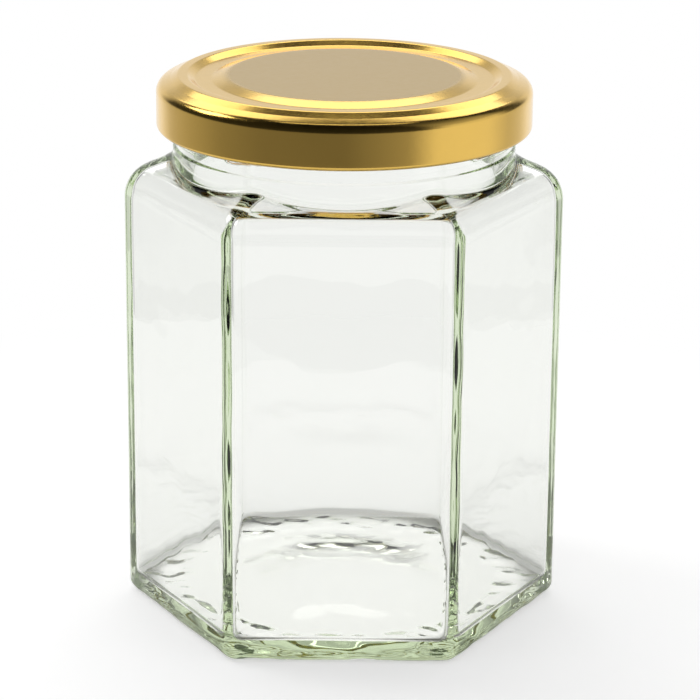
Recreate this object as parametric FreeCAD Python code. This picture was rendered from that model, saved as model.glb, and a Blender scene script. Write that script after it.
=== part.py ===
import FreeCAD, Part
import math
import os

from FreeCAD import Vector

# Hexagonal jam jar of clear glass, shut with a twist-off lid of gold lacquered tinplate.
# Millimetres, +Z up. The origin is the centre of the base, on the surface that the jar
# stands on. Two of the six faces look along -Y and +Y, and two upright corners lie on X.

# Glass body
across_flats = 68.2            # over two opposite faces
fold_height = 80.85            # where the upright faces fold over into the shoulder
corner_radius = 3.4            # outer rounding of the six upright corners
wall = 2.8                     # thickness of the upright faces
inner_corner_radius = 4.0      # the glass is thickest in the corners
heel_radius = 2.6              # outer edge round the base
base_thickness = 5.0
inner_heel_radius = 3.0        # where the floor inside turns up into the walls
push_up = 1.3                  # height of the hollow under the base
push_up_flat = 7.0             # radius of the flat in its middle
bearing_width = 8.0            # flat ring that the jar stands on, from a face inwards

# Shoulder, from the hexagon to the round neck
shoulder_drop = 5.85           # the corners start to round off this far below the fold
shoulder_rise = 2.35            # from the fold up to the root of the neck
fold_blend = 1.8               # length of the soft bend on each side of the fold
shoulder_wall = 1.8
root_radius = 1.8              # hollow curve from the shoulder into the neck

# Neck and finish
neck_radius = 29.8
neck_height = 12.8             # from the root of the neck to the sealing rim
neck_wall = 2.9
rim_radius = 0.9               # rounding of the sealing rim outside
rim_chamfer = 0.6              # easing of its edge inside
lug_count = 4
lug_phase = 47.0               # degrees, the low end of the first thread lug
lug_span = 56.0                # degrees
lug_lead = 20.0                # rise of the thread in a full turn
lug_height = 1.9
lug_depth = 1.25               # how far a thread lug stands out of the neck

# Lid of pressed sheet, its raised ring over the jar's rim
lid_height = 9.3
lid_sheet = 0.3
lid_shoulder_radius = 2.4      # bend between the top and the skirt
panel_drop = 0.15              # flat middle of the lid, below the crest of the ring
panel_step = 2.7               # width of the slope round the panel
groove_width = 2.85
groove_drop = 0.85             # groove between the panel and the ring, below the crest
ring_land = 1.7                # flat crest of the ring
ring_slope = 1.35              # width of the slope on each side of the crest
rim_drop = 0.75                # foot of the ring's outer slope, below the crest
rim_fall = 1.0                 # further fall from there to the skirt
bend_radius = 0.9              # bends of the ring
curl_width = 1.6               # edge of the skirt, rolled inwards and pressed tight
curl_height = 1.6
curl_radius = 0.8              # rounding of the curl outside
curl_play = 0.35               # between the curl and the thread lugs
grip_span = 17.0               # degrees that each of the lid's own lugs covers
grip_height = 1.0
grip_bevel = 0.25
grip_gap = 0.6                 # between a grip and the neck
grip_play = 0.25               # between a grip and the thread lug above it
grip_setback = 3.0             # degrees from a thread lug's high end back to the grip

# Sealing ring of soft compound inside the lid
seal_thickness = 1.0
seal_margin = 1.0              # the crest of the lid's ring is this much wider than the seal's
seal_width = 2.5               # width where it lies on the rim

HEX_SIDES = 6
HALF_SIDE_ANGLE = math.pi / HEX_SIDES
BLEND_STEPS = 6
SECTION_PITCH = 1.1            # between the loft's sections above its fold
NEARLY_ROUND = 0.985           # the last section of a shoulder keeps a trace of its flats
TUCK = 0.3                     # the end of a shoulder lies this far inside the neck
BURIED = 0.7                   # how deep a lug is rooted in what carries it
LUG_STATIONS = (0.0, 0.12, 0.35, 0.65, 0.88, 1.0)
LUG_FULLNESS = (0.1, 0.95, 1.0, 1.0, 0.95, 0.1)     # each end of a lug runs out into the neck
AXIS = Vector(0, 0, 1)

apothem = across_flats / 2
neck_root = fold_height + shoulder_rise
rim_height = neck_root + neck_height
bore_radius = neck_radius - neck_wall
ring_radius = neck_radius - neck_wall / 2
lid_radius = neck_radius + lug_depth + curl_play + curl_width
lid_top = rim_height + seal_thickness + lid_sheet
lid_bottom = lid_top - lid_height
grip_middle = lid_bottom + curl_height / 2
lug_rise = lug_lead * lug_span / 360
lug_low = grip_middle + (grip_height + lug_height) / 2 + grip_play - lug_rise


def polar(radius, angle, z=0.0):
    """Point at an angle in radians about the upright axis."""
    return Vector(radius * math.cos(angle), radius * math.sin(angle), z)


def line(start, end):
    return Part.LineSegment(start, end).toShape()


def rounded_hexagon(inner_radius, rounding, z):
    """Closed wire of six flats and six round corners at one height."""
    corner_centre = (inner_radius - rounding) / math.cos(HALF_SIDE_ANGLE)
    corners = []
    for side in range(HEX_SIDES):
        middle = 2 * HALF_SIDE_ANGLE * side
        centre = polar(corner_centre, middle, z)
        turn = (middle - HALF_SIDE_ANGLE, middle, middle + HALF_SIDE_ANGLE)
        corners.append([centre + polar(rounding, angle) for angle in turn])
    edges = []
    for corner, following in zip(corners, corners[1:] + corners[:1]):
        edges.append(Part.Arc(*corner).toShape())
        edges.append(line(corner[2], following[0]))
    return Part.Wire(edges)


def rounded_path(points):
    """Edges through (radius, height, rounding) points of a lathe profile.

    A rounding is held to just under half of the shorter run beside it.
    """
    corners = [Vector(radius, 0, height) for radius, height, _ in points]
    edges = []
    start = corners[0]
    for index in range(1, len(corners) - 1):
        corner = corners[index]
        back = corners[index - 1] - corner
        ahead = corners[index + 1] - corner
        half_angle = back.getAngle(ahead) / 2
        reach = points[index][2] / math.tan(half_angle)
        reach = min(reach, 0.48 * back.Length, 0.48 * ahead.Length)
        if reach < 1e-6:
            edges.append(line(start, corner))
            start = corner
            continue
        rounding = reach * math.tan(half_angle)
        back.normalize()
        ahead.normalize()
        bisector = (back + ahead).normalize()
        entry = corner + back * reach
        leave = corner + ahead * reach
        middle = corner + bisector * (rounding / math.sin(half_angle) - rounding)
        edges.append(line(start, entry))
        edges.append(Part.Arc(entry, middle, leave).toShape())
        start = leave
    edges.append(line(start, corners[-1]))
    return edges


def lathe(edges):
    return Part.Face(Part.Wire(edges)).revolve(Vector(0, 0, 0), AXIS, 360)


def closed_path(points):
    """A rounded path whose last point is joined to its first."""
    first = Vector(points[0][0], 0, points[0][1])
    last = Vector(points[-1][0], 0, points[-1][1])
    return rounded_path(points) + [line(last, first)]


def shoulder_profile(side, fold, end_radius, end_height):
    """(apothem, height) points: up the face, round the fold and up to the neck."""
    fold_point = Vector(side, 0, fold)
    to_neck = Vector(end_radius, 0, end_height) - fold_point
    blend = min(fold_blend, 0.9 * to_neck.Length)
    low = fold_point - Vector(0, 0, blend)
    high = fold_point + to_neck * (blend / to_neck.Length)
    points = []
    for step in range(BLEND_STEPS + 1):
        t = step / BLEND_STEPS
        bend = low * (1 - t) ** 2 + fold_point * (2 * t * (1 - t)) + high * t ** 2
        points.append((bend.x, bend.z))
    run = to_neck.Length - blend
    steps = max(2, round(run / SECTION_PITCH))
    for step in range(1, steps + 1):
        point = high + to_neck * (run / to_neck.Length * step / steps)
        points.append((point.x, point.z))
    return points


def shoulder(side, rounding, start, fold, end_radius, end_height):
    """Loft from the rounded hexagon of the body to the circle of the neck."""
    profile = shoulder_profile(side, fold, end_radius, end_height)
    upright = profile[0][1] - start
    steps = round(upright / SECTION_PITCH)
    for step in range(steps):
        profile.insert(0, (side, start + upright * (steps - 1 - step) / steps))
    low = profile[0][1]
    sections = []
    for inner_radius, height in profile:
        share = (height - low) / (end_height - low)
        share = share ** 2 * (3 - 2 * share)
        full = NEARLY_ROUND * inner_radius
        corner = rounding + (full - rounding) * share
        sections.append(rounded_hexagon(inner_radius, corner, height))
    return Part.makeLoft(sections, True, False), low


def hex_vessel(side, rounding, bottom, bottom_radius, start, fold, end_radius, end_height):
    """Hexagonal column with a rounded lower edge, closed above by its shoulder."""
    cap, low = shoulder(side, rounding, start, fold, end_radius, end_height)
    column = Part.Face(rounded_hexagon(side, rounding, bottom)).extrude(Vector(0, 0, low - bottom))
    lower_edges = [edge for edge in column.Edges if edge.BoundBox.ZMax < bottom + 1e-3]
    column = column.makeFillet(min(bottom_radius, 0.9 * rounding), lower_edges)
    return column.fuse(cap)


def neck_blank():
    """Neck and finish as turned outside, still without their bore."""
    overhang = max(apothem - neck_radius, 0)
    flare = min(2 * root_radius, 0.85 * overhang)
    flare_foot = neck_root - TUCK
    if overhang:
        flare_foot -= flare * shoulder_rise / overhang
    points = [
        (0, flare_foot - root_radius, 0),
        (neck_radius + flare, flare_foot - root_radius, 0),
        (neck_radius + flare, flare_foot, 0),
        (neck_radius, neck_root, root_radius),
        (neck_radius, rim_height, rim_radius),
        (0, rim_height, 0),
    ]
    return lathe(closed_path(points))


def cavity():
    """Space inside the glass: hexagonal below, round through the neck."""
    side = apothem - wall
    start = fold_height - shoulder_drop - shoulder_wall / 2
    fold = fold_height - shoulder_wall
    root = neck_root - shoulder_wall / 2
    space = hex_vessel(side, inner_corner_radius, base_thickness, inner_heel_radius,
                       start, fold, bore_radius - TUCK, root)
    bore = closed_path([
        (0, root - 1, 0),
        (bore_radius, root - 1, 0),
        (bore_radius, rim_height - rim_chamfer, 0),
        (bore_radius + rim_chamfer, rim_height, 0),
        (bore_radius + rim_chamfer, rim_height + 1, 0),
        (0, rim_height + 1, 0),
    ])
    return space.fuse(lathe(bore))


def push_up_hollow():
    """Shallow dish under the base, so that the jar stands on a flat outer ring."""
    edge = apothem - bearing_width
    rim = Vector(edge, 0, 0)
    crown = Vector(push_up_flat, 0, push_up)
    ball = ((edge - push_up_flat) ** 2 + push_up ** 2) / (2 * push_up)
    half_turn = math.asin((edge - push_up_flat) / ball) / 2
    middle = Vector(push_up_flat + ball * math.sin(half_turn), 0,
                    push_up - ball * (1 - math.cos(half_turn)))
    below = Vector(0, 0, -1)
    return lathe([
        line(below, rim + below),
        line(rim + below, rim),
        Part.Arc(rim, middle, crown).toShape(),
        line(crown, Vector(0, 0, push_up)),
        line(Vector(0, 0, push_up), below),
    ])


def thread_lug(start):
    """Tapered ridge that winds up round the neck, from its low end at `start` degrees."""
    foot = neck_radius - BURIED
    sections = []
    for station, fullness in zip(LUG_STATIONS, LUG_FULLNESS):
        angle = math.radians(start + lug_span * station)
        middle = lug_low + lug_rise * station
        crest = foot + (BURIED + lug_depth) * fullness
        wide = lug_height / 2 * (0.6 + 0.4 * fullness)
        narrow = 0.45 * wide
        sections.append(Part.makePolygon([
            polar(foot, angle, middle - wide),
            polar(crest, angle, middle - narrow),
            polar(crest, angle, middle + narrow),
            polar(foot, angle, middle + wide),
            polar(foot, angle, middle - wide),
        ]))
    return Part.makeLoft(sections, True, False)


def thread_lugs():
    """The short threads outside the neck, one for each lug of the lid."""
    return [thread_lug(lug_phase + index * 360 / lug_count) for index in range(lug_count)]


def make_jar():
    start = fold_height - shoulder_drop
    body = hex_vessel(apothem, corner_radius, 0, heel_radius, start, fold_height,
                      neck_radius - TUCK, neck_root)
    outside = body.fuse([neck_blank()] + thread_lugs())
    return outside.cut([cavity(), push_up_hollow()]).removeSplitter()


def lid_corners(bend, shoulder_radius):
    """(radius, height, rounding) of the lid's outer surface, from the axis to the curl."""
    inner_foot = ring_radius - ring_land / 2 - ring_slope
    outer_foot = ring_radius + ring_land / 2 + ring_slope
    panel_edge = inner_foot - groove_width - panel_step
    return [
        (0, lid_top - panel_drop, 0),
        (panel_edge, lid_top - panel_drop, 0),
        (panel_edge + panel_step, lid_top - groove_drop, 0),
        (inner_foot, lid_top - groove_drop, 0),
        (ring_radius - ring_land / 2, lid_top, bend),
        (ring_radius + ring_land / 2, lid_top, bend),
        (outer_foot, lid_top - rim_drop, 0),
        (lid_radius, lid_top - rim_drop - rim_fall, shoulder_radius),
        (lid_radius, lid_bottom + curl_height, 0),
    ]


def lid_section():
    """Half section of the sheet, with its edge rolled in at the foot of the skirt."""
    outside = Part.Wire(rounded_path(lid_corners(bend_radius, lid_shoulder_radius)))
    inside = Part.Wire(rounded_path(lid_corners(0, lid_shoulder_radius)))
    inside = inside.makeOffset2D(-lid_sheet, 2, False, True)
    curl = rounded_path([
        (lid_radius, lid_bottom + curl_height, 0),
        (lid_radius, lid_bottom, curl_radius),
        (lid_radius - curl_width, lid_bottom, 0),
        (lid_radius - curl_width, lid_bottom + curl_height, 0),
        (lid_radius - lid_sheet, lid_bottom + curl_height, 0),
    ])
    middle = line(Vector(0, 0, lid_top - panel_drop), Vector(0, 0, lid_top - panel_drop - lid_sheet))
    edges = outside.Edges + curl + inside.Edges + [middle]
    return Part.Face(Part.Wire(Part.__sortEdges__(edges)))


def lid_grip(start):
    """One of the lugs pressed in from the curl, which catch under the thread lugs."""
    outer = lid_radius - curl_width / 2
    inner = neck_radius + grip_gap
    low = grip_middle - grip_height / 2
    high = grip_middle + grip_height / 2
    section = Part.Face(Part.Wire(closed_path([
        (outer, low, 0),
        (inner + grip_bevel, low, 0),
        (inner, low + grip_bevel, 0),
        (inner, high - grip_bevel, 0),
        (inner + grip_bevel, high, 0),
        (outer, high, 0),
    ])))
    grip = section.revolve(Vector(0, 0, 0), AXIS, grip_span)
    grip.rotate(Vector(0, 0, 0), AXIS, start)
    return grip


def make_lid():
    sheet = lid_section().revolve(Vector(0, 0, 0), AXIS, 360)
    first = lug_phase + lug_span - grip_setback
    grips = [lid_grip(first + index * 360 / lug_count) for index in range(lug_count)]
    return sheet.fuse(grips).removeSplitter()


def make_seal():
    """Compound ring between the jar's rim and the underside of the lid's raised ring."""
    top = lid_top - lid_sheet
    seal_crest = ring_land - seal_margin
    return lathe(closed_path([
        (ring_radius - seal_width / 2, rim_height, 0),
        (ring_radius + seal_width / 2, rim_height, 0),
        (ring_radius + seal_crest / 2, top, 0),
        (ring_radius - seal_crest / 2, top, 0),
    ]))


def export(name, shape):
    """Write one piece, which has to be a single sound solid."""
    if len(shape.Solids) != 1 or not shape.isValid():
        raise ValueError(f"{name} is not one valid solid")
    shape.Solids[0].exportStep(f"parts/{name}.step")


os.makedirs("parts", exist_ok=True)
export("jar", make_jar())
export("lid", make_lid())
export("seal", make_seal())
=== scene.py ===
import math

import bpy
import numpy as np
from mathutils import Euler, Matrix, Vector


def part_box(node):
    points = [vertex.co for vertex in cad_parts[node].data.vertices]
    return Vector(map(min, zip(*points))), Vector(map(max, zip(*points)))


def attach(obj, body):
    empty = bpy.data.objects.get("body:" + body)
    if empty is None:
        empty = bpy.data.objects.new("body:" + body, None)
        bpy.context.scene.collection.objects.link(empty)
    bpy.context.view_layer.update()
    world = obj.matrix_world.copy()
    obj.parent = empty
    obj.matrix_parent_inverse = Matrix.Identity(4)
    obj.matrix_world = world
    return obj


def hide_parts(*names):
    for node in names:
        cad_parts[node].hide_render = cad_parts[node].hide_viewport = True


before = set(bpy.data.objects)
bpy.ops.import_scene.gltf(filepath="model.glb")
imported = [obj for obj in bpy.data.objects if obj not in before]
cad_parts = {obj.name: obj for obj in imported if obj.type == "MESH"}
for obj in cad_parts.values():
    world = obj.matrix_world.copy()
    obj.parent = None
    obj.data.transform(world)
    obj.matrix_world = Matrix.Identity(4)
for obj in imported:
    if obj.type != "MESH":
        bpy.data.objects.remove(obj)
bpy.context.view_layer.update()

bl_info = {
    "name": "Hexagonal jam jar",
    "version": (1, 0, 0),
    "blender": (4, 5, 0),
    "location": "View3D > Sidebar > Jam Jar",
    "description": "A six-sided glass jar with a round twist-off lid",
    "category": "Add Mesh",
}

MM = 0.001
BODY = "root"
LID_LOW, LID_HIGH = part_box("lid")
SIXTH_TURN = math.pi / 3
HALF_SIDE = SIXTH_TURN / 2    # angle from a corner of the hexagon to the middle of a face


# Profiles ---------------------------------------------------------------

def rounded_path(corners, steps):
    """(radius, height) points along straight runs whose corners are rounded.

    Each corner is (radius, height, rounding). A rounding is held to just under
    half of the shorter run beside it.
    """
    points = [corners[0][:2]]
    for before, corner, after in zip(corners, corners[1:], corners[2:]):
        here = np.array(corner[:2])
        back = np.array(before[:2]) - here
        ahead = np.array(after[:2]) - here
        back_length, ahead_length = np.linalg.norm(back), np.linalg.norm(ahead)
        back, ahead = back / back_length, ahead / ahead_length
        half_angle = math.acos(np.clip(back @ ahead, -1, 1)) / 2
        reach = corner[2] / math.tan(half_angle)
        reach = min(reach, 0.48 * back_length, 0.48 * ahead_length)
        if reach < 1e-9:
            points.append(tuple(here))
            continue
        rounding = reach * math.tan(half_angle)
        bisector = (back + ahead) / np.linalg.norm(back + ahead)
        centre = here + bisector * rounding / math.sin(half_angle)
        entry = here + back * reach - centre
        leave = here + ahead * reach - centre
        turn = math.atan2(entry[0] * leave[1] - entry[1] * leave[0], entry @ leave)
        for step in range(steps + 1):
            a = turn * step / steps
            spoke = (entry[0] * math.cos(a) - entry[1] * math.sin(a),
                     entry[0] * math.sin(a) + entry[1] * math.cos(a))
            points.append((centre[0] + spoke[0], centre[1] + spoke[1]))
    points.append(corners[-1][:2])
    return points


def refined(points, pitch):
    """The same path with no step longer than the pitch."""
    fine = [tuple(points[0])]
    for start, end in zip(points, points[1:]):
        start, end = np.array(start), np.array(end)
        count = max(1, math.ceil(np.linalg.norm(end - start) / pitch - 1e-6))
        for step in range(1, count + 1):
            fine.append(tuple(start + (end - start) * step / count))
    return fine


def between(steps):
    """Shares of the way at each step, without the two ends."""
    return [step / steps for step in range(1, steps)]


def smoothstep(share):
    return share * share * (3 - 2 * share)


def ring(side, height, rounding, flare=0.0, ripple=0.0, stipple=0.0):
    """One ring of a section, as the node group reads it.

    It is a hexagon that reaches out to side at its faces, with rounded corners, or
    a circle where rounding equals side. Flare is the least radius anywhere on it.
    """
    return {"side": side, "height": height, "rounding": rounding,
            "flare": flare, "ripple": ripple, "stipple": stipple}


def round_rings(points, ripple=0.0):
    return [ring(radius, height, radius, ripple=ripple) for radius, height in points]


def section_mesh(name, rings):
    """A chain of vertices that carries each ring's side, height and other values."""
    mesh = bpy.data.meshes.new(name)
    mesh.from_pydata([(item["side"], 0, item["height"]) for item in rings],
                     [(i, i + 1) for i in range(len(rings) - 1)], [])
    for key in ("rounding", "flare", "ripple", "stipple"):
        layer = mesh.attributes.new(key, "FLOAT", "POINT")
        layer.data.foreach_set("value", [item[key] for item in rings])
    return mesh


# Node helpers -----------------------------------------------------------

class Tree:
    """Short calls for building a geometry or shader node tree."""

    def __init__(self, nodes, links):
        self.nodes = nodes
        self.links = links

    def add(self, kind, inputs=None, **settings):
        """New node with its settings, then its inputs by name or number."""
        node = self.nodes.new(kind)
        for key, value in settings.items():
            setattr(node, key, value)
        self.feed_all(node, inputs or {})
        return node

    def feed(self, socket, value):
        """Links the socket to another one, or gives it a constant."""
        if isinstance(value, bpy.types.NodeSocket):
            self.links.new(value, socket)
        else:
            socket.default_value = value

    def feed_all(self, node, inputs):
        for key, value in inputs.items():
            self.feed(node.inputs[key], value)

    def math(self, operation, *values):
        return self.add("ShaderNodeMath", dict(enumerate(values)), operation=operation).outputs[0]

    def length(self, vector):
        return self.add("ShaderNodeVectorMath", {0: vector}, operation="LENGTH").outputs["Value"]

    def spread(self, value, low, high, out_low=0.0, out_high=1.0, smooth=False):
        """Takes the range from low to high over to another one, held at its ends."""
        inputs = dict(enumerate((value, low, high, out_low, out_high)))
        kind = "SMOOTHSTEP" if smooth else "LINEAR"
        return self.add("ShaderNodeMapRange", inputs, clamp=True,
                        interpolation_type=kind).outputs[0]

    def noise(self, vector, scale, detail):
        return self.add("ShaderNodeTexNoise", {
            "Vector": vector, "Scale": scale, "Detail": detail}).outputs[0]

    def levels(self, value, stops):
        """Grey level along a row of (position, level) stops, from 0 to 1."""
        node = self.add("ShaderNodeValToRGB", {0: value})
        marks = node.color_ramp.elements
        while len(marks) < len(stops):
            marks.new(0.5)
        # The ramp sorts its marks as they move, so the levels come after the places.
        for mark, (position, _) in zip(marks, stops):
            mark.position = position
        for mark, (_, level) in zip(marks, stops):
            mark.color = (level, level, level, 1.0)
        return node.outputs[0]

    def blend(self, share, first, second):
        """Plain number between first, at a share of 0, and second, at 1."""
        return self.add("ShaderNodeMix", {0: share, 2: first, 3: second},
                        data_type="FLOAT").outputs[0]

    def mix_colour(self, share, first, second):
        return self.add("ShaderNodeMix", {0: share, 6: first, 7: second},
                        data_type="RGBA").outputs[2]

    def bump(self, height, strength, distance):
        return self.add("ShaderNodeBump", {
            "Strength": strength, "Distance": distance, "Height": height}).outputs[0]

    def named(self, key):
        """The value that each point carries under this name."""
        return self.add("GeometryNodeInputNamedAttribute", {"Name": key},
                        data_type="FLOAT").outputs[0]


def geometry_tree(name, inputs):
    """A geometry node group with its named inputs; returns the group and its helper."""
    group = bpy.data.node_groups.new(name, "GeometryNodeTree")
    group.interface.new_socket("Geometry", in_out="INPUT", socket_type="NodeSocketGeometry")
    for label, kind, default in inputs:
        socket = group.interface.new_socket(label, in_out="INPUT", socket_type=kind)
        if default is not None:
            socket.default_value = default
    group.interface.new_socket("Geometry", in_out="OUTPUT", socket_type="NodeSocketGeometry")
    tree = Tree(group.nodes, group.links)
    tree.source = tree.add("NodeGroupInput").outputs
    return group, tree


def end_group(tree, geometry):
    """Last nodes of a geometry group: real geometry with its material."""
    real = tree.add("GeometryNodeRealizeInstances", {0: geometry})
    coated = tree.add("GeometryNodeSetMaterial", {
        "Geometry": real.outputs[0], "Material": tree.source["Material"]})
    tree.add("NodeGroupOutput", {0: coated.outputs[0]})


def grown(name, mesh, group, values):
    """A plain mesh object made by one geometry node group from a start mesh."""
    helper = bpy.data.objects.new(name + "_start", mesh)
    bpy.context.scene.collection.objects.link(helper)
    modifier = helper.modifiers.new(group.name, "NODES")
    modifier.node_group = group
    by_name = {item.name: item.identifier for item in group.interface.items_tree
               if item.in_out == "INPUT"}
    for label, value in values.items():
        modifier[by_name[label]] = value
    bpy.context.view_layer.update()
    depsgraph = bpy.context.evaluated_depsgraph_get()
    made = bpy.data.meshes.new_from_object(helper.evaluated_get(depsgraph),
                                           preserve_all_data_layers=True, depsgraph=depsgraph)
    made.name = name
    helper.modifiers.remove(modifier)
    bpy.data.objects.remove(helper)
    if not made.polygons:
        raise RuntimeError(f"{name} came out empty")
    piece = bpy.data.objects.new(name, made)
    bpy.context.scene.collection.objects.link(piece)
    made.shade_smooth()
    return piece


def hexagon_radius(tree, side, rounding, swing):
    """Radius of a hexagon with round corners, at an angle from its nearest corner."""
    from_face = tree.math("SUBTRACT", HALF_SIDE, swing)
    flat = tree.math("DIVIDE", side, tree.math("COSINE", from_face))
    straight = tree.math("SUBTRACT", side, rounding)
    centre = tree.math("DIVIDE", straight, math.cos(HALF_SIDE))
    across = tree.math("MULTIPLY", centre, tree.math("SINE", swing))
    inside = tree.math("SUBTRACT", tree.math("MULTIPLY", rounding, rounding),
                       tree.math("MULTIPLY", across, across))
    arc = tree.math("ADD", tree.math("MULTIPLY", centre, tree.math("COSINE", swing)),
                    tree.math("SQRT", tree.math("MAXIMUM", inside, 0.0)))
    on_face = tree.math("LESS_THAN",
                        tree.math("MULTIPLY", tree.math("TANGENT", from_face), side),
                        tree.math("MULTIPLY", straight, math.tan(HALF_SIDE)))
    return tree.math("ADD", tree.math("MULTIPLY", flat, on_face),
                     tree.math("MULTIPLY", arc, tree.math("SUBTRACT", 1.0, on_face)))


def unevenness(tree, position):
    """How far each point moves along its normal: slow ripples and a pressed-in stipple."""
    source = tree.source
    slow = tree.add("ShaderNodeTexNoise", {
        "Vector": position, "Scale": source["Ripple scale"], "W": source["Seed"],
        "Detail": 1.0}, noise_dimensions="4D").outputs[0]
    lift = tree.math("MULTIPLY", tree.math("SUBTRACT", slow, 0.5),
                     tree.math("MULTIPLY", source["Ripple height"], tree.named("ripple")))
    grain = tree.noise(position, source["Stipple scale"], detail=1.0)
    depth = tree.math("MULTIPLY", source["Stipple depth"], tree.named("stipple"))
    press = tree.math("MULTIPLY", tree.spread(grain, 0.35, 0.65), depth)
    return tree.math("SUBTRACT", lift, press)


def turned_section_group():
    """Sweeps a section round the axis: each ring is a rounded hexagon or a circle."""
    group, tree = geometry_tree("Turned section", [
        ("Rings", "NodeSocketInt", 2),
        ("Segments per side", "NodeSocketInt", 48),
        ("Corner crowding", "NodeSocketFloat", 0.0),
        ("Root melt", "NodeSocketFloat", 0.001),
        ("Ripple height", "NodeSocketFloat", 0.0),
        ("Ripple scale", "NodeSocketFloat", 60.0),
        ("Stipple depth", "NodeSocketFloat", 0.0),
        ("Stipple scale", "NodeSocketFloat", 230.0),
        ("Seed", "NodeSocketFloat", 3.0),
        ("Material", "NodeSocketMaterial", None),
    ])
    source = tree.source
    rings, per_side = source["Rings"], source["Segments per side"]
    position = tree.add("GeometryNodeInputPosition").outputs[0]

    # A flat grid with one column for each station round the axis, one row for each ring.
    grid = tree.add("GeometryNodeMeshGrid", {
        "Size X": 1.0, "Size Y": 1.0,
        "Vertices X": tree.math("MULTIPLY_ADD", per_side, 6.0, 1.0), "Vertices Y": rings})
    place = tree.add("ShaderNodeSeparateXYZ", {0: position})
    row = tree.math("ROUND", tree.math("MULTIPLY", tree.math("ADD", place.outputs[1], 0.5),
                                       tree.math("SUBTRACT", rings, 1.0)))

    def of_ring(kind, value):
        return tree.add("GeometryNodeSampleIndex", {
            "Geometry": source["Geometry"], "Value": value, "Index": row},
            data_type=kind, domain="POINT").outputs[0]

    section = tree.add("ShaderNodeSeparateXYZ", {0: of_ring("FLOAT_VECTOR", position)})
    side, height = section.outputs[0], section.outputs[2]
    rounding, flare, ripple, stipple = (
        of_ring("FLOAT", tree.named(key)) for key in ("rounding", "flare", "ripple", "stipple"))

    # Stations crowd towards the six corners, where the glass turns. The factor just
    # under 1 keeps the last station on the last side.
    turn = tree.math("MULTIPLY", tree.math("ADD", place.outputs[0], 0.5), 6.0)
    corner = tree.math("FLOOR", tree.math("MULTIPLY", turn, 0.999999))
    offset = tree.math("MULTIPLY_ADD", tree.math("SUBTRACT", turn, corner), 2.0, -1.0)
    away = tree.math("ABSOLUTE", offset)
    crowded = tree.math("MULTIPLY", tree.math("POWER", away, 2.2), source["Corner crowding"])
    even = tree.math("MULTIPLY", away, tree.math("SUBTRACT", 1.0, source["Corner crowding"]))
    swing = tree.math("MULTIPLY", tree.math("ADD", crowded, even), HALF_SIDE)
    angle = tree.math("MULTIPLY_ADD", tree.math("SIGN", offset), swing,
                      tree.math("MULTIPLY", corner, SIXTH_TURN))

    # The melt holds only where there is a round wall, so that the middle of a floor
    # still runs in to the axis and closes.
    walled = tree.math("GREATER_THAN", flare, 0.0)
    radius = tree.math("SMOOTH_MAX", hexagon_radius(tree, side, rounding, swing), flare,
                       tree.math("MULTIPLY", source["Root melt"], walled))
    spot = tree.add("ShaderNodeCombineXYZ", {
        0: tree.math("MULTIPLY", radius, tree.math("COSINE", angle)),
        1: tree.math("MULTIPLY", radius, tree.math("SINE", angle)), 2: height})

    shape = grid.outputs["Mesh"]
    for key, value in (("ripple", ripple), ("stipple", stipple)):
        shape = tree.add("GeometryNodeStoreNamedAttribute", {
            "Geometry": shape, "Name": key, "Value": value},
            data_type="FLOAT", domain="POINT").outputs[0]
    shape = tree.add("GeometryNodeSetPosition", {
        "Geometry": shape, "Position": spot.outputs[0]}).outputs[0]
    shape = tree.add("GeometryNodeMergeByDistance", {
        "Geometry": shape, "Distance": 1e-6}).outputs[0]
    push = tree.add("ShaderNodeVectorMath", {
        0: tree.add("GeometryNodeInputNormal").outputs[0],
        "Scale": unevenness(tree, position)}, operation="SCALE")
    shape = tree.add("GeometryNodeSetPosition", {
        "Geometry": shape, "Offset": push.outputs[0]}).outputs[0]
    end_group(tree, shape)
    return group


def ring_of_lugs_group():
    """Copies one pressed lug round the axis."""
    group, tree = geometry_tree("Ring of lugs", [
        ("Count", "NodeSocketInt", 4),
        ("First angle", "NodeSocketFloat", 0.0),
        ("Material", "NodeSocketMaterial", None),
    ])
    source = tree.source
    step = tree.math("DIVIDE", 2 * math.pi, source["Count"])
    angle = tree.math("MULTIPLY_ADD", tree.add("GeometryNodeInputIndex").outputs[0], step,
                      source["First angle"])
    turn = tree.add("ShaderNodeCombineXYZ", {2: angle})
    rotation = tree.add("FunctionNodeEulerToRotation", {0: turn.outputs[0]})
    places = tree.add("GeometryNodePoints", {"Count": source["Count"]})
    copies = tree.add("GeometryNodeInstanceOnPoints", {
        "Points": places.outputs[0], "Instance": source["Geometry"],
        "Rotation": rotation.outputs[0]})
    end_group(tree, copies.outputs[0])
    return group


def shared_group(name, maker):
    return bpy.data.node_groups.get(name) or maker()


def turn_section(name, rings, per_side, material, values=None):
    """Sweeps the rings into one closed mesh with its faces outwards."""
    group = shared_group("Turned section", turned_section_group)
    piece = grown(name, section_mesh(name + "_section", rings), group, {
        "Rings": len(rings),
        "Segments per side": per_side,
        "Material": material,
        **(values or {}),
    })
    face_outwards(piece.data)
    return piece


def face_outwards(mesh):
    """Turns all faces round where the closed mesh encloses a negative volume."""
    points = vertex_points(mesh)
    mesh.calc_loop_triangles()
    triangles = np.zeros(len(mesh.loop_triangles) * 3, dtype=np.int32)
    mesh.loop_triangles.foreach_get("vertices", triangles)
    a, b, c = points[triangles.reshape(-1, 3)].transpose(1, 0, 2)
    if np.einsum("ij,ij->i", a, np.cross(b, c)).sum() < 0:
        mesh.flip_normals()


def vertex_points(mesh):
    """The mesh's vertices as rows of x, y and z."""
    points = np.zeros(len(mesh.vertices) * 3)
    mesh.vertices.foreach_get("co", points)
    return points.reshape(-1, 3)


# Settings and materials -------------------------------------------------

def length_setting(name, description, millimetres):
    """A length that the user can change, with its default in millimetres."""
    return bpy.props.FloatProperty(name=name, description=description,
                                   default=millimetres * MM, unit="LENGTH")


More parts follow.
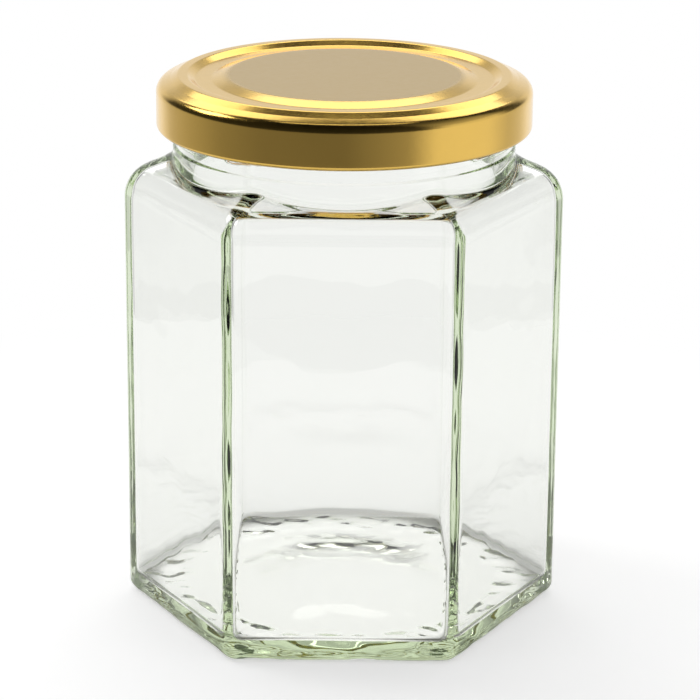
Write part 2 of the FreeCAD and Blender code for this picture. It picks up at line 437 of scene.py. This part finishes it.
def angle_setting(name, description, degrees):
    return bpy.props.FloatProperty(name=name, description=description,
                                   default=math.radians(degrees),
                                   subtype="ANGLE", unit="ROTATION")


def number_setting(name, description, default):
    return bpy.props.FloatProperty(name=name, description=description, default=default)


def count_setting(name, description, default):
    return bpy.props.IntProperty(name=name, description=description, default=default, min=0)


def colour_setting(name, description, default):
    return bpy.props.FloatVectorProperty(name=name, description=description, default=default,
                                         size=3, min=0, max=1, subtype="COLOR")


def new_material(name):
    """A node material with its tree helper, its shader and the object's coordinates."""
    material = bpy.data.materials.new(name)
    material.use_nodes = True
    tree = Tree(material.node_tree.nodes, material.node_tree.links)
    place = tree.add("ShaderNodeTexCoord").outputs["Object"]
    return material, tree, tree.nodes["Principled BSDF"], place


def opaque(rgb, share=1.0):
    """A colour socket's value: the colour, or a darker share of it, with full alpha."""
    return (*[level * share for level in rgb], 1.0)


# Glass jar --------------------------------------------------------------

BEND_STEPS = 10       # round the bend where a face turns into the shoulder
HEEL_STEPS = 10
HOLLOW_STEPS = 12     # from the flat of the hollow under the base out to the bearing ring
BEARING_STEPS = 12
FACE_STEPS = 20
INNER_FACE_STEPS = 36
FLOOR_STEPS = 26
LEAST_CORNER = 0.1 * MM

FULL_RIPPLE = 1.0     # shares of the ripple height on each part of the inside
BORE_RIPPLE = 0.3
FLOOR_RIPPLE = 2.5

NECK_BAND = 0.25 * MM          # how near to the neck's radius a point of it lies
THREAD_CLEARANCE = 0.25 * MM   # between the thread lugs and the lid's own
LUG_ROOT = 0.7 * MM            # how far a lug's flanks run on below the neck
LUG_RUN_OUT = 0.12             # share of a lug's length over which each end fades
LUG_END_WIDTH = 0.6            # width of a lug's ends as a share of its middle's


def corner_reach(side, rounding):
    """Radius out to a rounded corner of the hexagon."""
    return (side - rounding) / math.cos(HALF_SIDE) + rounding


def shoulder_rings(side, rounding, start, bend, slope, round_radius, melt, pitch, ripple=0.0):
    """Rings up a hexagonal pillow out of which the round neck rises.

    The faces bend over from the start with the radius given by bend, then run in
    and up at the slope until the neck has swallowed the last of the corners.
    """
    turn = math.pi / 2 - slope
    path = [(bend * (1 - math.cos(turn * step / BEND_STEPS)),
             start + bend * math.sin(turn * step / BEND_STEPS))
            for step in range(BEND_STEPS + 1)]
    inset = corner_reach(side, rounding) - (round_radius - melt)
    path.append((inset, path[-1][1] + (inset - path[-1][0]) * math.tan(slope)))
    return [ring(side - inset * math.cos(HALF_SIDE), height, rounding, round_radius, ripple)
            for inset, height in refined(path, pitch)]


def heel_rings(side, rounding, floor, heel, ripple=0.0, stipple=0.0):
    """Rounded edge between a floor and the upright faces, from the floor outwards."""
    rings = []
    for step in range(HEEL_STEPS + 1):
        turn = math.pi / 2 * step / HEEL_STEPS
        inset = heel * (1 - math.sin(turn))
        rings.append(ring(side - inset, floor + heel * (1 - math.cos(turn)),
                          max(rounding - inset, LEAST_CORNER),
                          ripple=ripple, stipple=stipple * math.cos(turn)))
    return rings


def floor_rings(edge, height, ripple):
    """Rings from the axis out to a heel's first ring, growing from round to hexagonal."""
    rings = []
    for step in range(FLOOR_STEPS):
        share = step / FLOOR_STEPS
        side = edge["side"] * share
        corner = side + (edge["rounding"] - edge["side"]) * share ** 3
        rings.append(ring(side, height, min(corner, side), ripple=ripple * min(1, 3 * share)))
    return rings


def outside_rings(g):
    """Outside of the glass from the axis under the base to the crest of the rim."""
    side = g.across_flats / 2

    # Hollow under the base, then the flat ring that the jar stands on.
    edge, flat = side - g.bearing_width, g.push_up_flat
    rings = [ring(0, g.push_up, 0), ring(flat / 2, g.push_up, flat / 2)]
    for step in range(HOLLOW_STEPS + 1):
        share = step / HOLLOW_STEPS
        radius = flat + (edge - flat) * share
        rings.append(ring(radius, g.push_up * (1 - smoothstep(share)), radius))
    heel = heel_rings(side, g.corner_radius, 0, g.heel_radius, stipple=1.0)
    for share in between(BEARING_STEPS):
        rings.append(ring(edge + (heel[0]["side"] - edge) * share, 0,
                          edge + (heel[0]["rounding"] - edge) * share, stipple=1.0))
    rings += heel
    for share in between(FACE_STEPS):
        rings.append(ring(side, g.heel_radius + (g.shoulder_start - g.heel_radius) * share,
                          g.corner_radius))

    bead, rim = g.neck_radius + g.bead_depth, g.rim_height
    rings += shoulder_rings(side, g.corner_radius, g.shoulder_start, g.shoulder_bend,
                            g.shoulder_slope, bead, g.root_melt, pitch=0.30 * MM)
    neck = rounded_path([(bead, rings[-1]["height"], 0),
                         (bead, g.bead_top, 0.4 * MM),
                         (g.neck_radius, g.bead_top + g.bead_depth, 0.3 * MM),
                         (g.neck_radius, rim - g.rim_radius, 0)], steps=4)
    rings += round_rings(refined(neck, pitch=0.24 * MM)[1:])
    crest = rounded_path([(g.neck_radius, rim - 3 * g.rim_radius, 0),
                          (g.neck_radius, rim, g.rim_radius),
                          (g.neck_radius - g.neck_wall + g.rim_chamfer, rim, 0)], steps=8)
    return rings + round_rings(crest[2:])


def inside_rings(g):
    """Inside of the glass from the rim down to the axis on the floor."""
    side = g.across_flats / 2 - g.wall
    bore, rim, start = g.neck_radius - g.neck_wall, g.rim_height, g.inner_start
    shoulder = shoulder_rings(side, g.inner_corner_radius, start, g.inner_bend, g.inner_slope,
                              bore, g.root_melt / 2, 0.36 * MM, FULL_RIPPLE)
    mouth = (bore, rim - g.rim_chamfer)
    rings = round_rings(refined([(bore + g.rim_chamfer, rim), mouth], pitch=0.3 * MM)[1:])
    rings += round_rings(refined([mouth, (bore, shoulder[-1]["height"])], pitch=0.8 * MM)[1:-1],
                         BORE_RIPPLE)
    rings += reversed(shoulder)
    lowest = g.base_thickness + g.inner_heel_radius
    for share in between(INNER_FACE_STEPS):
        rings.append(ring(side, start + (lowest - start) * share, g.inner_corner_radius,
                          ripple=FULL_RIPPLE))
    heel = heel_rings(side, g.inner_corner_radius, g.base_thickness, g.inner_heel_radius,
                      FULL_RIPPLE)
    rings += reversed(heel)
    return rings + floor_rings(heel[0], g.base_thickness, FLOOR_RIPPLE)[::-1]


def cut_threads(mesh, g, d):
    """Raises the thread lugs out of the neck, each run out at both ends.

    They stand just above the lid's own lugs, which catch under them.
    """
    points = vertex_points(mesh)
    radius = np.hypot(points[:, 0], points[:, 1])
    on_neck = (np.abs(radius - g.neck_radius) < NECK_BAND) & (points[:, 2] > g.lug_floor)
    angle = np.degrees(np.arctan2(points[:, 1], points[:, 0]))
    middle_of_grip = LID_LOW.z + d.curl_height / 2
    rise = g.lug_lead * g.lug_span / 360
    low = middle_of_grip + (d.grip_height + g.lug_height) / 2 + THREAD_CLEARANCE - rise
    for index in range(g.lug_count):
        along = (angle - g.lug_phase - index * 360 / g.lug_count) % 360 / g.lug_span
        fullness = np.clip(np.minimum(along, 1 - along) / LUG_RUN_OUT, 0, 1)
        fullness = np.where((along > 0) & (along < 1), np.sin(fullness * math.pi / 2), 0)
        off = np.abs(points[:, 2] - (low + rise * along))
        wide = g.lug_height / 2 * (LUG_END_WIDTH + (1 - LUG_END_WIDTH) * fullness)
        height = smoothstep(np.clip((wide - off) / (0.5 * wide), 0, 1))
        stand = height * (LUG_ROOT + g.lug_depth) * fullness - LUG_ROOT
        stand = np.maximum(stand, 0) * on_neck
        points[:, :2] *= ((radius + stand) / np.maximum(radius, 1e-9))[:, None]
        radius = radius + stand
    mesh.vertices.foreach_set("co", points.ravel())
    mesh.update()


def glass_material(g):
    """Clear glass with a faint film, a slow waviness and a tint that deepens with thickness."""
    material, tree, shader, place = new_material("Clear jar glass")
    film = tree.noise(place, scale=160.0, detail=3.0)
    slow = tree.noise(place, scale=90.0, detail=1.0)
    tree.feed_all(shader, {
        "Base Color": (1.0, 1.0, 1.0, 1.0),
        "Transmission Weight": 1.0,
        "IOR": 1.5,
        "Roughness": tree.spread(film, 0.35, 0.75, 0.0, 0.02),
        "Normal": tree.bump(slow, strength=0.35, distance=0.4 * MM),
    })
    absorb = tree.add("ShaderNodeVolumeAbsorption", {
        "Color": opaque(g.tint), "Density": g.tint_density})
    tree.feed(tree.nodes["Material Output"].inputs["Volume"], absorb.outputs[0])
    return material


class JarGlassSettings(bpy.types.PropertyGroup):
    across_flats: length_setting(
        "Across flats", "Width from one face to the opposite one", 68.2)
    corner_radius: length_setting("Corner radius", "Rounding of the six upright edges", 3.5)
    wall: length_setting("Wall", "Thickness of the glass in the faces", 2.8)
    inner_corner_radius: length_setting(
        "Inner corner radius", "Rounding of the upright edges inside", 1.6)
    heel_radius: length_setting("Heel radius", "Rounding round the foot", 2.0)
    base_thickness: length_setting("Base thickness", "Height of the floor inside", 3.2)
    inner_heel_radius: length_setting(
        "Inner heel radius", "Rounding round the floor inside", 1.5)
    push_up: length_setting("Push-up", "Height of the hollow under the base", 0.8)
    push_up_flat: length_setting(
        "Push-up flat", "Radius of the flat in the middle of the hollow", 7.0)
    bearing_width: length_setting("Bearing width", "Flat ring that the jar stands on", 8.0)
    shoulder_start: length_setting(
        "Shoulder start", "Height at which the faces start to bend over", 74.8)
    shoulder_bend: length_setting("Shoulder bend", "Radius of that bend", 6.4)
    shoulder_slope: angle_setting(
        "Shoulder slope", "Slope of the shoulder above the bend", 23.7)
    inner_start: length_setting(
        "Inner shoulder start", "Height at which the inside bends over", 75.7)
    inner_bend: length_setting("Inner bend", "Radius of the bend inside", 3.0)
    inner_slope: angle_setting("Inner slope", "Slope of the shoulder inside", 16.0)
    root_melt: length_setting(
        "Root melt", "Hollow blend between the shoulder and the neck", 2.4)
    bead_depth: length_setting("Bead depth", "How far the bead stands out of the neck", 0.35)
    bead_top: length_setting("Bead top", "Height at which the bead ends", 84.9)
    rim_height: length_setting("Rim height", "Height of the rim", 96.0)
    rim_radius: length_setting("Rim radius", "Rounding of the rim outside", 0.9)
    rim_chamfer: length_setting("Rim chamfer", "Easing of the rim inside", 0.6)
    neck_radius: length_setting("Neck radius", "Outer radius of the neck", 29.8)
    neck_wall: length_setting("Neck wall", "Thickness of the glass in the neck", 2.9)
    lug_floor: length_setting("Lug floor", "No thread lug stands below this height", 85.4)
    lug_count: count_setting("Thread lugs", "Short threads round the neck", 4)
    lug_phase: number_setting("Lug phase", "Low end of the first thread lug, in degrees", 47.0)
    lug_span: number_setting("Lug span", "Degrees that a thread lug covers", 56.0)
    lug_lead: length_setting("Lug lead", "Rise of the thread in a full turn", 20.0)
    lug_height: length_setting("Lug height", "Height of a thread lug's section", 1.9)
    lug_depth: length_setting(
        "Lug depth", "How far a thread lug stands out of the neck", 1.25)
    ripple_height: length_setting("Ripple height", "Unevenness of the glass inside", 0.25)
    stipple_depth: length_setting("Stipple depth", "Depth of the moulded stipple below", 0.3)
    tint: colour_setting("Tint", "Colour of thick glass", (0.95, 0.97, 0.92))
    tint_density: number_setting("Tint density", "How fast the tint deepens, per metre", 120.0)


class JAMJAR_OT_glass(bpy.types.Operator):
    """Make the six-sided glass jar with its thread lugs"""
    bl_idname = "jamjar.glass"
    bl_label = "Glass jar"

    def execute(self, context):
        g = context.scene.jam_jar_glass
        rings = outside_rings(g) + inside_rings(g)
        jar = turn_section("jar_glass", rings, per_side=48, material=glass_material(g), values={
            "Corner crowding": 0.82,
            "Root melt": g.root_melt,
            "Ripple height": g.ripple_height,
            "Ripple scale": 55.0,
            "Stipple depth": g.stipple_depth,
            "Stipple scale": 230.0,
            "Seed": 3.0,
        })
        cut_threads(jar.data, g, context.scene.jam_jar_lid)
        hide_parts("jar")
        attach(jar, BODY)
        return {"FINISHED"}


# Lid and seal -----------------------------------------------------------

PANEL_BEND = 1.6 * MM         # rounding of the pressing's bends
GROOVE_BEND = 1.8 * MM
RING_FOOT_BEND = 0.8 * MM
RING_CREST_BEND = 0.9 * MM
LEAST_SHOULDER = 0.2 * MM

GRIP_STATIONS = 18
GRIP_ROUNDING = 0.35 * MM
GRIP_END = 2.2                # degrees over which each end of a lug rounds off
GRIP_END_REACH = 0.05         # how far the very end still stands in, as a share
GRIP_END_HEIGHT = 0.75


def lid_corners(d, inset=0.0):
    """(radius, height, rounding) of the lid's outer surface, from the axis to the curl."""
    top, panel, groove = LID_HIGH.z, d.panel_drop, d.groove_drop
    crest_in, crest_out = d.ring_radius - d.ring_land / 2, d.ring_radius + d.ring_land / 2
    groove_edge = crest_in - d.ring_slope
    panel_edge = groove_edge - d.groove_width - d.panel_step
    shoulder = max(d.shoulder_radius - inset, LEAST_SHOULDER)
    return [
        (0, top - panel - inset, 0),
        (panel_edge, top - panel - inset, PANEL_BEND),
        (panel_edge + d.panel_step, top - groove - inset, GROOVE_BEND),
        (groove_edge, top - groove - inset, RING_FOOT_BEND),
        (crest_in, top - inset, RING_CREST_BEND),
        (crest_out, top - inset, RING_CREST_BEND),
        (crest_out + d.ring_slope, top - d.rim_drop - inset, RING_FOOT_BEND),
        (d.radius - inset, top - d.rim_drop - d.rim_fall - inset, shoulder),
        (d.radius - inset, LID_LOW.z + d.curl_height, 0),
    ]


def lid_rings(d):
    """Closed section of the sheet, with its edge rolled in at the foot of the skirt."""
    outer = rounded_path(lid_corners(d), steps=9)
    inner = rounded_path(lid_corners(d, d.sheet), steps=6)
    curl = rounded_path([
        (d.radius, LID_LOW.z + d.curl_height, 0),
        (d.radius, LID_LOW.z, d.curl_height / 2),
        (d.radius - d.curl_width, LID_LOW.z, d.curl_height / 2),
        (d.radius - d.curl_width, LID_LOW.z + d.curl_height, 0.2 * MM),
        (d.radius - d.sheet, LID_LOW.z + d.curl_height, 0),
    ], steps=7)
    return round_rings(refined(outer, pitch=1.4 * MM) + curl[1:-1]
                       + refined(inner[::-1], pitch=2.0 * MM))


def gold_material(d):
    """Gold lacquer: bright on the pressing and skirt, satin on the panel, and darkened at the
    foot of the curl as painted shade.
    """
    material, tree, shader, place = new_material("Gold lacquered steel")
    x, y, z = tree.add("ShaderNodeSeparateXYZ", {0: place}).outputs
    radius = tree.math("SQRT", tree.math("ADD", tree.math("POWER", x, 2.0),
                                         tree.math("POWER", y, 2.0)))
    panel = tree.spread(radius, d.panel_edge - 0.8 * MM, d.panel_edge + 1.2 * MM,
                        1.0, 0.0, smooth=True)
    # Painted shade: the gold darkens to half towards the foot of the curl, dimming its reflection
    # of the floor.
    foot = tree.spread(z, LID_LOW.z, LID_LOW.z + 0.5 * d.curl_height, 1.0, 0.0, smooth=True)
    cloud = tree.noise(place, scale=70.0, detail=3.0)
    fine = tree.noise(place, scale=900.0, detail=2.0)
    gold = tree.mix_colour(tree.spread(cloud, 0.3, 0.7),
                           opaque(d.lacquer, 0.95), opaque(d.lacquer))
    gold = tree.mix_colour(foot, gold, opaque(d.lacquer, 0.5))
    tree.feed_all(shader, {
        "Base Color": tree.mix_colour(panel, gold, opaque(d.panel_lacquer)),
        "Metallic": 1.0,
        "Coat Weight": 0.15,
        "Coat Roughness": 0.08,
        "Coat IOR": 1.5,
        "Roughness": tree.math("ADD", tree.spread(panel, 0.0, 1.0, 0.17, 0.30),
                               tree.spread(fine, 0.2, 0.8, -0.02, 0.02)),
        "Normal": tree.bump(fine, strength=0.08, distance=0.1 * MM),
    })
    return material


class LidSettings(bpy.types.PropertyGroup):
    radius: length_setting("Radius", "Outer radius of the skirt", 33.0)
    sheet: length_setting("Sheet", "Thickness of the steel", 0.3)
    shoulder_radius: length_setting(
        "Shoulder radius", "Bend between the top and the skirt", 2.4)
    panel_edge: length_setting("Panel radius", "Radius of the satin panel in the middle", 20.6)
    panel_drop: length_setting("Panel drop", "Panel below the crest of the ring", 0.15)
    panel_step: length_setting("Panel step", "Width of the slope round the panel", 2.7)
    groove_width: length_setting("Groove width", "Flat of the groove inside the ring", 2.85)
    groove_drop: length_setting("Groove drop", "Groove below the crest of the ring", 0.85)
    ring_radius: length_setting("Ring radius", "Middle of the raised ring", 28.35)
    ring_land: length_setting("Ring land", "Flat crest of the ring", 1.7)
    ring_slope: length_setting("Ring slope", "Width of the slope beside the crest", 1.35)
    rim_drop: length_setting("Rim drop", "Foot of the ring outside, below the crest", 0.75)
    rim_fall: length_setting("Rim fall", "Further fall from there to the skirt", 1.0)
    curl_width: length_setting("Curl width", "Width of the rolled edge", 1.6)
    curl_height: length_setting("Curl height", "Height of the rolled edge", 1.6)
    grip_count: count_setting("Grips", "Lugs pressed in from the curl", 4)
    grip_start: number_setting("First grip", "Where the first grip starts, in degrees", 100.0)
    grip_span: number_setting("Grip span", "Degrees that each grip covers", 17.0)
    grip_height: length_setting("Grip height", "Height of a grip", 1.0)
    grip_reach: length_setting("Grip reach", "Radius that a grip reaches in to", 30.4)
    lacquer: colour_setting("Lacquer", "Gold of the pressed rim and skirt", (0.88, 0.57, 0.13))
    panel_lacquer: colour_setting(
        "Panel lacquer", "Paler gold of the satin panel", (0.57, 0.40, 0.14))


def grip_mesh(d):
    """One lug of the lid: a short bent bar with rounded edges and ends."""
    outer, inner = d.radius - d.curl_width / 2, d.grip_reach
    low = LID_LOW.z + (d.curl_height - d.grip_height) / 2
    high = low + d.grip_height
    middle = (low + high) / 2
    section = rounded_path([
        (outer, middle, 0), (outer, low, 0), (inner, low, GRIP_ROUNDING),
        (inner, high, GRIP_ROUNDING), (outer, high, 0), (outer, middle, 0)], steps=5)[1:-1]
    verts, faces = [], []
    for station in range(GRIP_STATIONS + 1):
        share = station / GRIP_STATIONS
        edge = min(share, 1 - share) * d.grip_span / GRIP_END
        full = math.sqrt(max(0.0, 1 - (1 - min(edge, 1)) ** 2))
        angle = math.radians(d.grip_span * share)
        for radius, height in section:
            radius = outer + (radius - outer) * max(full, GRIP_END_REACH)
            height = middle + (height - middle) * (
                GRIP_END_HEIGHT + (1 - GRIP_END_HEIGHT) * full)
            verts.append((radius * math.cos(angle), radius * math.sin(angle), height))
    count = len(section)
    for station in range(GRIP_STATIONS):
        here, there = station * count, (station + 1) * count
        for i in range(count):
            j = (i + 1) % count
            faces.append((here + i, here + j, there + j, there + i))
    faces.append(tuple(range(count)))
    faces.append(tuple(GRIP_STATIONS * count + i for i in reversed(range(count))))
    mesh = bpy.data.meshes.new("lid_grip_start")
    mesh.from_pydata(verts, [], faces)
    face_outwards(mesh)
    return mesh


class JAMJAR_OT_lid(bpy.types.Operator):
    """Press the round lid with its raised ring, skirt, curl and inner lugs"""
    bl_idname = "jamjar.lid"
    bl_label = "Twist-off lid"

    def execute(self, context):
        d = context.scene.jam_jar_lid
        gold = gold_material(d)
        lid = turn_section("lid_shell", lid_rings(d), per_side=42, material=gold)
        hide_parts("lid")
        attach(lid, BODY)
        group = shared_group("Ring of lugs", ring_of_lugs_group)
        grips = grown("lid_grips", grip_mesh(d), group, {
            "Count": d.grip_count,
            "First angle": math.radians(d.grip_start),
            "Material": gold,
        })
        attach(grips, BODY)
        return {"FINISHED"}


def compound_material(s):
    """Matt off-white compound with a cloudy grain."""
    material, tree, shader, place = new_material("Sealing compound")
    cloud = tree.noise(place, scale=220.0, detail=3.0)
    tree.feed_all(shader, {
        "Base Color": tree.mix_colour(tree.spread(cloud, 0.3, 0.7),
                                      opaque(s.colour, 0.9), opaque(s.colour)),
        "Roughness": tree.spread(cloud, 0.3, 0.7, 0.42, 0.58),
        "Normal": tree.bump(cloud, strength=0.2, distance=0.2 * MM),
    })
    return material


class SealSettings(bpy.types.PropertyGroup):
    radius: length_setting("Radius", "Middle of the ring of compound", 28.35)
    foot: length_setting("Width on the rim", "Width where it lies on the glass", 2.5)
    crest: length_setting("Width in the lid", "Width under the lid's raised ring", 0.7)
    colour: colour_setting("Colour", "Colour of the soft compound", (0.70, 0.66, 0.58))


class JAMJAR_OT_seal(bpy.types.Operator):
    """Lay the ring of soft compound between the glass and the lid"""
    bl_idname = "jamjar.seal"
    bl_label = "Sealing ring"

    def execute(self, context):
        s = context.scene.jam_jar_seal
        low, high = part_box("seal")
        path = rounded_path([
            (s.radius, low.z, 0),
            (s.radius + s.foot / 2, low.z, 0.15 * MM),
            (s.radius + s.crest / 2, high.z, 0.25 * MM),
            (s.radius - s.crest / 2, high.z, 0.25 * MM),
            (s.radius - s.foot / 2, low.z, 0.15 * MM),
            (s.radius, low.z, 0)], steps=4)
        seal = turn_section("seal_ring", round_rings(path), per_side=30,
                            material=compound_material(s))
        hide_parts("seal")
        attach(seal, BODY)
        return {"FINISHED"}


# Stage ------------------------------------------------------------------

FLOOR_SIDES = 96
FLOOR_GAP = 0.05 * MM          # keeps the floor just clear of the glass

# (degrees from straight behind, towards the east, level) of the room's light: near
# the horizon there is a white sweep behind and a pale wall to the east, and higher
# up only those two stand out of the dark.
LOW_ROOM = ((-180, 0.18), (-130, 0.20), (-100, 0.28), (-72, 0.45), (-50, 0.60), (-32, 1.0),
            (32, 1.0), (48, 0.70), (62, 0.60), (82, 0.90), (122, 0.90), (140, 0.35),
            (180, 0.18))
HIGH_ROOM = ((-180, 0.02), (-70, 0.03), (-48, 0.04), (-32, 0.95), (32, 0.95), (46, 0.08),
             (62, 0.08), (76, 0.85), (114, 0.85), (130, 0.05), (180, 0.02))
# (sine of the height above the horizon, level): how the room darkens upwards.
UPWARD_FADE = ((0.0, 1.0), (0.30, 0.85), (0.36, 0.60), (0.60, 0.40), (0.85, 0.10), (1.0, 0.03))

# Name, place and size in metres, and watts of each soft light. All face the jar.
LIGHT_AIM = Vector((0, 0, 0.05))
SOFTBOXES = (
    ("back_softbox", (0.0, 0.50, 0.62), (0.8, 0.34), 1.35),
    ("high_softbox", (0.0, 0.13, 0.85), (0.5, 0.12), 0.22),
    ("west_softbox", (-0.62, 0.25, 0.66), (0.34, 0.30), 1.3),
)


class StageSettings(bpy.types.PropertyGroup):
    floor_radius: length_setting("Floor radius", "Radius of the round pale floor", 200.0)
    floor_lift: number_setting(
        "Floor lift", "Own light that brings the floor up to white", 0.46)
    # Painted light: own light of the floor under the jar, seen only through the glass.
    painted_light_under_jar: number_setting(
        "Under lift", "Own light of the floor right under the jar", 0.85)
    beyond_lift: number_setting(
        "Beyond lift", "Own light of the floor seen through the jar", 0.33)
    camera_place: bpy.props.FloatVectorProperty(
        name="Camera place", description="Where the camera stands",
        default=(0.0013, -0.5291, 0.2178), size=3, subtype="TRANSLATION", unit="LENGTH")
    camera_tilt: angle_setting("Camera tilt", "How far the camera looks down", 17.95)
    camera_roll: angle_setting("Camera roll", "How far the camera leans sideways", 0.45)
    lens: number_setting("Lens", "Focal length in millimetres", 158.9)


def floor_material(s):
    """Pale floor that keeps the jar's shadow and fades into the white room."""
    material, tree, shader, place = new_material("Pale floor")
    grain = tree.noise(place, scale=40.0, detail=3.0)
    tree.feed_all(shader, {
        "Base Color": tree.mix_colour(grain, (0.80, 0.80, 0.80, 1.0), (0.82, 0.82, 0.82, 1.0)),
        "Roughness": 0.9,
        "Specular IOR Level": 0.1,
    })
    ray = tree.add("ShaderNodeLightPath").outputs
    indirect = tree.math("MAXIMUM", ray["Is Glossy Ray"], ray["Is Transmission Ray"])
    seen = tree.math("MAXIMUM", ray["Is Camera Ray"], indirect)
    out = tree.length(place)
    far = tree.math("MULTIPLY", tree.spread(out, 0.07, 0.17, smooth=True), seen)
    # Through the glass the floor has painted light under the jar and a painted shadow ring round
    # its foot.
    under = tree.spread(out, 0.030, 0.035, s.painted_light_under_jar, 0.0, smooth=True)
    beyond = tree.spread(out, 0.038, 0.042, 0.0, s.beyond_lift, smooth=True)
    lift = tree.add("ShaderNodeEmission", {"Strength": tree.blend(
        indirect, tree.math("MULTIPLY", ray["Is Camera Ray"], s.floor_lift),
        tree.math("ADD", under, beyond))})
    near = tree.add("ShaderNodeAddShader", {0: shader.outputs[0], 1: lift.outputs[0]})
    white = tree.add("ShaderNodeEmission", {"Strength": tree.blend(indirect, 1.0, 0.95)})
    both = tree.add("ShaderNodeMixShader", {0: far, 1: near.outputs[0], 2: white.outputs[0]})
    tree.feed(tree.nodes["Material Output"].inputs["Surface"], both.outputs[0])
    return material


def studio_world():
    """White sweep behind the jar, a pale wall to the east and a dim room in front."""
    world = bpy.data.worlds.new("Soft studio")
    world.use_nodes = True
    tree = Tree(world.node_tree.nodes, world.node_tree.links)
    way = tree.add("ShaderNodeSeparateXYZ", {
        0: tree.add("ShaderNodeTexCoord").outputs["Generated"]})
    east, north, up = way.outputs
    bearing = tree.math("MULTIPLY_ADD", tree.math("ARCTAN2", east, north), 0.5 / math.pi, 0.5)
    low, high = (tree.levels(bearing, [((degrees + 180) / 360, level) for degrees, level in room])
                 for room in (LOW_ROOM, HIGH_ROOM))
    fade = tree.levels(tree.math("MAXIMUM", up, 0.0), UPWARD_FADE)
    room = tree.blend(tree.spread(up, -0.05, 0.10, smooth=True), low,
                      tree.math("MULTIPLY", high, fade))
    # Reflections see the room as it is, glass sees it much paler, and the camera white.
    ray = tree.add("ShaderNodeLightPath").outputs
    level = tree.blend(ray["Is Glossy Ray"], 0.50, room)
    level = tree.blend(ray["Is Transmission Ray"], level, tree.blend(0.75, 0.98, room))
    level = tree.blend(ray["Is Camera Ray"], level, 1.0)
    tree.feed_all(tree.nodes["Background"], {"Color": (1.0, 1.0, 1.0, 1.0), "Strength": level})
    return world


def soft_light(name, place, size, watts):
    lamp = bpy.data.lights.new(name, "AREA")
    lamp.shape = "RECTANGLE"
    lamp.size, lamp.size_y = size
    lamp.energy = watts
    holder = bpy.data.objects.new(name, lamp)
    holder.location = place
    away = Vector(place) - LIGHT_AIM
    holder.rotation_euler = away.to_track_quat("Z", "Y").to_euler()
    bpy.context.scene.collection.objects.link(holder)


def studio_floor(s):
    mesh = bpy.data.meshes.new("floor")
    angles = [2 * math.pi * i / FLOOR_SIDES for i in range(FLOOR_SIDES)]
    mesh.from_pydata([(s.floor_radius * math.cos(a), s.floor_radius * math.sin(a), 0)
                      for a in angles], [], [tuple(range(FLOOR_SIDES))])
    mesh.materials.append(floor_material(s))
    floor = bpy.data.objects.new("floor", mesh)
    floor.location.z = -FLOOR_GAP
    bpy.context.scene.collection.objects.link(floor)
    return floor


def studio_camera(s):
    camera = bpy.data.cameras.new("camera")
    camera.lens = s.lens
    camera.sensor_width = 36.0
    camera.clip_start = 0.01
    holder = bpy.data.objects.new("camera", camera)
    holder.location = s.camera_place
    level = Euler((math.pi / 2 - s.camera_tilt, 0, 0)).to_matrix()
    holder.rotation_euler = (level @ Matrix.Rotation(s.camera_roll, 3, "Z")).to_euler()
    bpy.context.scene.collection.objects.link(holder)
    return holder


class JAMJAR_OT_stage(bpy.types.Operator):
    """Set up the pale floor, the soft lights, the world and the camera"""
    bl_idname = "jamjar.stage"
    bl_label = "Stage"

    def execute(self, context):
        scene = context.scene
        s = scene.jam_jar_stage
        floor = studio_floor(s)
        scene.world = studio_world()
        for softbox in SOFTBOXES:
            soft_light(*softbox)
        scene.camera = studio_camera(s)
        # Light crosses many walls of glass before it reaches the camera.
        scene.cycles.max_bounces = 32
        scene.cycles.glossy_bounces = 24
        scene.cycles.transmission_bounces = 32
        scene.view_settings.view_transform = "Standard"
        return {"FINISHED"}


# Panel and registration -------------------------------------------------

# Each operator with the scene's settings that it reads and their kind.
MAKERS = (
    (JAMJAR_OT_glass, "jam_jar_glass", JarGlassSettings),
    (JAMJAR_OT_lid, "jam_jar_lid", LidSettings),
    (JAMJAR_OT_seal, "jam_jar_seal", SealSettings),
    (JAMJAR_OT_stage, "jam_jar_stage", StageSettings),
)


class JAMJAR_PT_panel(bpy.types.Panel):
    """Sizes, colours and makers of the jam jar"""
    bl_idname = "JAMJAR_PT_panel"
    bl_label = "Jam Jar"
    bl_space_type = "VIEW_3D"
    bl_region_type = "UI"
    bl_category = "Jam Jar"

    def draw(self, context):
        for operator, name, kind in MAKERS:
            box = self.layout.box()
            box.operator(operator.bl_idname)
            for key in kind.__annotations__:
                box.prop(getattr(context.scene, name), key)


CLASSES = (*(kind for _, _, kind in MAKERS), *(operator for operator, _, _ in MAKERS),
           JAMJAR_PT_panel)


def register():
    for cls in CLASSES:
        bpy.utils.register_class(cls)
    for _, name, kind in MAKERS:
        setattr(bpy.types.Scene, name, bpy.props.PointerProperty(type=kind))


def unregister():
    for _, name, _ in MAKERS:
        delattr(bpy.types.Scene, name)
    for cls in reversed(CLASSES):
        bpy.utils.unregister_class(cls)


def main():
    register()
    bpy.ops.jamjar.glass()
    bpy.ops.jamjar.lid()
    bpy.ops.jamjar.seal()
    bpy.ops.jamjar.stage()


if __name__ == "__main__":
    main()
